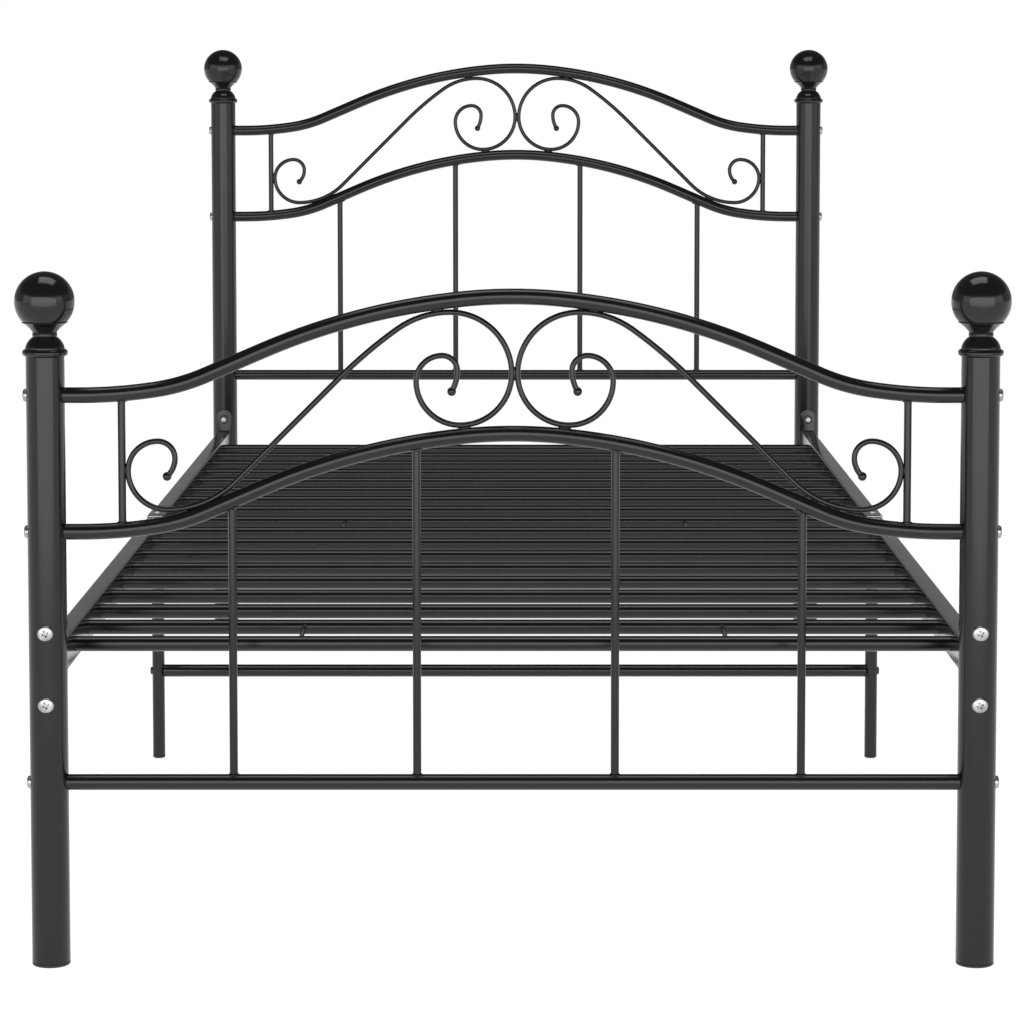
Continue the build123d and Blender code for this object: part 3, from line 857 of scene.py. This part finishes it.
def make_rails():
    """Half rails, end brackets, the welds between them, and the joint plates."""
    for name, side in SIDES.items():
        x = side * POST_X
        for end, sign in ENDS.items():
            length = RAIL_END_Y - RAIL_SEAM / 2
            middle = sign * (RAIL_END_Y + RAIL_SEAM / 2) / 2
            bm = bmesh.new()
            block(
                bm,
                (x, middle, RAIL_Z),
                (RAIL_WIDTH, length, RAIL_HEIGHT),
                RAIL_CORNER,
                segments=5,
                long_axis=1,
            )
            finish_piece(
                bm, f"half_rail_{name}_{end}", "black_powder_coat", [f"rail_{name}_{end}"]
            )

            bm = bmesh.new()
            width, thick, height = BRACKET
            upright = Matrix.Rotation(math.pi / 2, 4, "X")
            made = bmesh.ops.create_circle(
                bm, cap_ends=True, segments=64, radius=width / 2, matrix=upright
            )["verts"]
            for way in (1, -1):
                half = [v for v in made if v.co.z * way > 0.01]
                bmesh.ops.translate(bm, vec=(0, 0, way * (height - width) / 2), verts=half)
            drawn = bmesh.ops.extrude_face_region(bm, geom=list(bm.faces))["geom"]
            raised = [v for v in drawn if isinstance(v, bmesh.types.BMVert)]
            bmesh.ops.translate(bm, vec=(0, sign * thick, 0), verts=raised)
            rims = [
                e for e in bm.edges if abs(e.verts[0].co.y - e.verts[1].co.y) < 0.01
            ]
            bmesh.ops.bevel(
                bm,
                geom=rims,
                offset=0.6,
                affect="EDGES",
                segments=3,
                profile=0.5,
                material=-1,
            )
            place = Matrix.Translation((x, sign * RAIL_END_Y, RAIL_Z))
            bmesh.ops.transform(bm, matrix=place, verts=bm.verts)
            finish_piece(
                bm,
                f"rail_end_bracket_{name}_{end}",
                "black_powder_coat",
                [f"rail_bracket_{name}_{end}"],
            )

        bm = bmesh.new()
        block(bm, (x, 0, RAIL_TOP + PLATE[2] / 2), PLATE, 0.5)
        finish_piece(bm, f"rail_joint_plate_{name}", "zinc_plated_steel", [f"joint_plate_{name}"])

    welds = bmesh.new()
    for side in SIDES.values():
        for sign in ENDS.values():
            collar = (RAIL_WIDTH + COLLAR_SPREAD, COLLAR_WIDTH, RAIL_HEIGHT + COLLAR_SPREAD)
            block(
                welds,
                (side * POST_X, sign * (RAIL_END_Y - COLLAR_INSET), RAIL_Z),
                collar,
                COLLAR_ROUNDING,
                segments=3,
            )
    finish_piece(welds, "rail_bracket_welds", "black_powder_coat")


def make_slats():
    """Cross slats, the short rods that tie some of them, and their welds."""
    for end, sign in ENDS.items():
        bm = bmesh.new()
        for y in SLAT_Y:
            if y * sign > 0:
                rod(bm, (-SLAT_END_X, y, RAIL_Z), (SLAT_END_X, y, RAIL_Z), SLAT, sides=36)
        finish_piece(
            bm, f"cross_slats_{end}_half", "black_powder_coat", [f"slats_{end}_half"]
        )
    links = bmesh.new()
    welds = bmesh.new()
    for first in LINKED_SLATS:
        near, far = SLAT_Y[first], SLAT_Y[first + 1]
        for side in SIDES.values():
            x = side * LINK_X
            rod(links, (x, near, RAIL_Z), (x, far, RAIL_Z), LINK, sides=20)
            for y, way in ((near, 1), (far, -1)):
                joint = facing((x, y + way * (SLAT - LINK_BEAD_SINK), RAIL_Z), (0, way, 0))
                bead(welds, joint, LINK, LINK_BEAD, steps=20)
    finish_piece(links, "slat_tie_rods", "black_powder_coat", ["slat_link_rods"])
    finish_piece(welds, "slat_tie_welds", "black_powder_coat")


def make_mid_legs():
    """Legs under the middle of the rails and the bar between them."""
    for name, side in SIDES.items():
        place = Matrix.Translation((side * POST_X, 0, 0))
        bm = bmesh.new()
        lathe(bm, tube_profile(LEG, CAP_FLANGE, RAIL_BOTTOM), place, 40)
        finish_piece(bm, f"mid_leg_tube_{name}", "black_powder_coat", [f"mid_leg_{name}"])
        bm = bmesh.new()
        lathe(bm, cap_profile(LEG, 2.0), place, 40)
        finish_piece(bm, f"mid_leg_foot_{name}", "cap_black_plastic", [f"mid_leg_cap_{name}"])
    bm = bmesh.new()
    reach = POST_X - LEG + 1.5
    rod(bm, (-reach, 0, CROSSBAR_Z), (reach, 0, CROSSBAR_Z), LEG, sides=36)
    finish_piece(bm, "crossbar_tube", "black_powder_coat", ["crossbar"])


for end_name in ENDS:
    make_panel(end_name)
    for side_name, side_sign in SIDES.items():
        make_post(end_name, side_name, side_sign)
make_fasteners()
make_rails()
make_slats()
make_mid_legs()

# The pieces that stay as the frame has them get their finish in their own slot.
slots = {part["node"]: part["material_slot"] for part in frame["record"]["subparts"]}
for node, carried in frame["nodes"].items():
    if not carried.hide_render:
        carried.data.materials.clear()
        carried.data.materials.append(FINISHES[slots[node]])


# ---- Floor, light and camera


SURROUND = 2.5  # brightness of the studio in reflections
DIM_ABOVE = 0.046  # ceiling, as a share of that


def shade_ramp(tree, shades):
    """A ramp of greys, each a position and a brightness."""
    ramp = tree.nodes.new("ShaderNodeValToRGB")
    stops = ramp.color_ramp.elements
    while len(stops) < len(shades):
        stops.new(0.5)
    for stop, (position, shade) in zip(stops, shades):
        stop.position = position
        stop.color = (shade, shade, shade, 1.0)
    return ramp


def make_floor():
    """A wide, even, pale floor."""
    bm = bmesh.new()
    bmesh.ops.create_grid(bm, x_segments=1, y_segments=1, size=40.0)
    mesh = bpy.data.meshes.new("studio_floor")
    bm.to_mesh(mesh)
    bm.free()
    floor = bpy.data.objects.new("studio_floor", mesh)
    bpy.context.scene.collection.objects.link(floor)
    paint = bpy.data.materials.new("pale_floor")
    paint.use_nodes = True
    shader = paint.node_tree.nodes["Principled BSDF"]
    shader.inputs["Base Color"].default_value = (0.28, 0.28, 0.28, 1.0)
    shader.inputs["Roughness"].default_value = 1.0
    shader.inputs["Specular IOR Level"].default_value = 0.0
    shader.inputs["Emission Color"].default_value = (1.0, 1.0, 1.0, 1.0)
    shader.inputs["Emission Strength"].default_value = 0.95
    mesh.materials.append(paint)


def make_world():
    """White behind the bed; in reflections, a low band of walls under a dim ceiling."""
    world = bpy.data.worlds.new("studio_surround")
    bpy.context.scene.world = world
    world.use_nodes = True
    tree = world.node_tree
    tree.nodes.clear()
    out = tree.nodes.new("ShaderNodeOutputWorld")
    seen = tree.nodes.new("ShaderNodeBackground")
    lit = tree.nodes.new("ShaderNodeBackground")
    choose = tree.nodes.new("ShaderNodeMixShader")
    path = tree.nodes.new("ShaderNodeLightPath")
    place = tree.nodes.new("ShaderNodeTexCoord")
    parts = tree.nodes.new("ShaderNodeSeparateXYZ")
    around = tree.nodes.new("ShaderNodeMapRange")
    around.inputs["From Min"].default_value = 1.0
    around.inputs["From Max"].default_value = -1.0
    wall = shade_ramp(tree, ((0.0, 0.12), (0.56, 0.15), (0.60, 0.60), (1.0, 0.60)))
    band = shade_ramp(tree, ((0.0, 1.0), (0.27, 1.0), (0.38, 0.0)))
    join = tree.nodes.new("ShaderNodeMix")
    join.data_type = "RGBA"
    join.inputs["A"].default_value = (DIM_ABOVE, DIM_ABOVE, DIM_ABOVE, 1.0)
    seen.inputs["Color"].default_value = (1.0, 1.0, 1.0, 1.0)
    seen.inputs["Strength"].default_value = 1.0
    lit.inputs["Strength"].default_value = SURROUND
    connect(tree, place, "Generated", parts, "Vector")
    connect(tree, parts, "Y", around, "Value")
    connect(tree, around, "Result", wall, "Fac")
    connect(tree, parts, "Z", band, "Fac")
    connect(tree, band, "Color", join, "Factor")
    connect(tree, wall, "Color", join, "B")
    connect(tree, join, "Result", lit, "Color")
    connect(tree, path, "Is Camera Ray", choose, "Fac")
    connect(tree, lit, "Background", choose, 1)
    connect(tree, seen, "Background", choose, 2)
    connect(tree, choose, "Shader", out, "Surface")


def softbox(name, position, target, width, height, power):
    """A soft rectangular lamp aimed at a point."""
    lamp = bpy.data.lights.new(name, "AREA")
    lamp.shape = "RECTANGLE"
    lamp.size = width
    lamp.size_y = height
    lamp.energy = power
    holder = bpy.data.objects.new(name, lamp)
    holder.location = position
    aim = Vector(target) - Vector(position)
    holder.rotation_euler = aim.to_track_quat("-Z", "Y").to_euler()
    holder.visible_camera = False
    bpy.context.scene.collection.objects.link(holder)


def make_camera():
    """Long lens, low over the foot end, looking along the bed and a little down."""
    data = bpy.data.cameras.new("camera")
    data.sensor_width = 36.0
    data.lens = 119.06
    data.shift_x = -0.0085
    data.shift_y = -0.18
    data.clip_end = 200.0
    camera = bpy.data.objects.new("camera", data)
    camera.location = (0.0077, -4.3726, 0.9036)
    camera.rotation_euler = (math.radians(90.0 - 4.447), 0.0, 0.0)
    bpy.context.scene.collection.objects.link(camera)
    bpy.context.scene.camera = camera


make_floor()
make_world()
softbox("ceiling_light", (0.0, -0.7, 4.2), (0.0, -0.7, 0.0), 2.8, 2.0, 44.0)
softbox("front_light", (0.0, -3.4, 0.77), (0.0, 0.0, 0.77), 5.4, 1.5, 40.0)
make_camera()
bpy.context.scene.view_settings.view_transform = "Standard"
